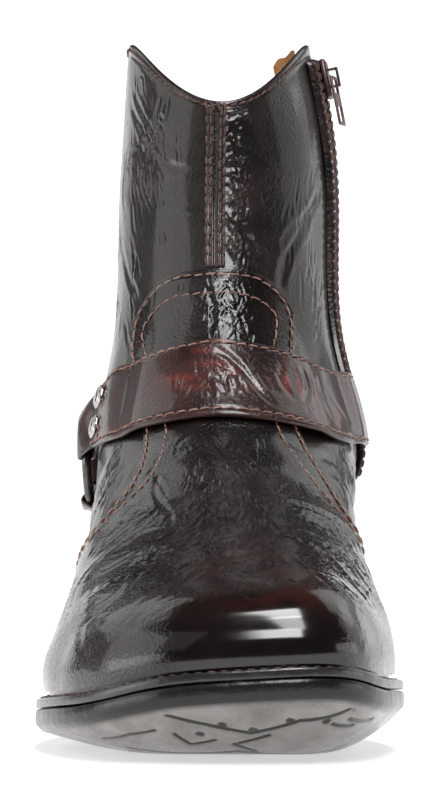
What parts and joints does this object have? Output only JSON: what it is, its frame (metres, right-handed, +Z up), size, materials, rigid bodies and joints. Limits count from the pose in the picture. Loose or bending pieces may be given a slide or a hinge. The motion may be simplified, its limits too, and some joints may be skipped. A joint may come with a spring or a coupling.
{
  "type": "cowboy ankle boot",
  "caption": "Right ankle boot with scalloped collar, inner side zip, harness strap with ring over the instep, rounded vamp top, squared toe and stacked heel.",
  "frame": {"origin": "middle of the heel's ground face, on the floor", "axes": "+Y from toe to heel, +X to the boot's inner side, +Z up"},
  "size_m": [0.1087, 0.3074, 0.2356],
  "materials": {
    "shaft_leather": "glossy, crinkled",
    "vamp_leather": "polished, brushed off to burgundy",
    "strap_leather": "polished, rubbed",
    "outsole_rubber": "satin",
    "welt": "waxed",
    "heel_stack": "waxed, stacked",
    "insole_leather": "matte",
    "zip_tape": "woven",
    "zip_metal": "dark antique",
    "ring_metal": "nickel, worn"
  },
  "bodies": {
    "boot": {"upper": "shaft_leather", "vamp": "vamp_leather", "front_seam_strip": "shaft_leather", "back_seam_strip": "shaft_leather", "zip_tape": "zip_tape", "zip_teeth": "zip_metal", "zip_facing_front": "shaft_leather", "zip_facing_back": "shaft_leather", "zip_slider": "zip_metal", "instep_strap": "strap_leather", "heel_strap": "strap_leather", "down_strap": "strap_leather", "instep_strap_fold": "strap_leather", "heel_strap_fold": "strap_leather", "down_strap_fold": "strap_leather", "harness_ring": "ring_metal", "rivet_upper": "ring_metal", "rivet_lower": "ring_metal", "welt": "welt", "outsole": "outsole_rubber", "heel_block": "heel_stack", "heel_top_piece": "outsole_rubber", "insole": "insole_leather"},
    "pull_tab": {"zip_pull_tab": "zip_metal"}
  },
  "joints": [
    {"name": "pull_tab_hinge", "type": "hinge", "parent": "boot", "child": "pull_tab", "pos_m": [0.03876, -0.04291, 0.22345], "axis": [-0.1719, -0.9851, 0], "range_deg": [0, 150]}
  ]
}
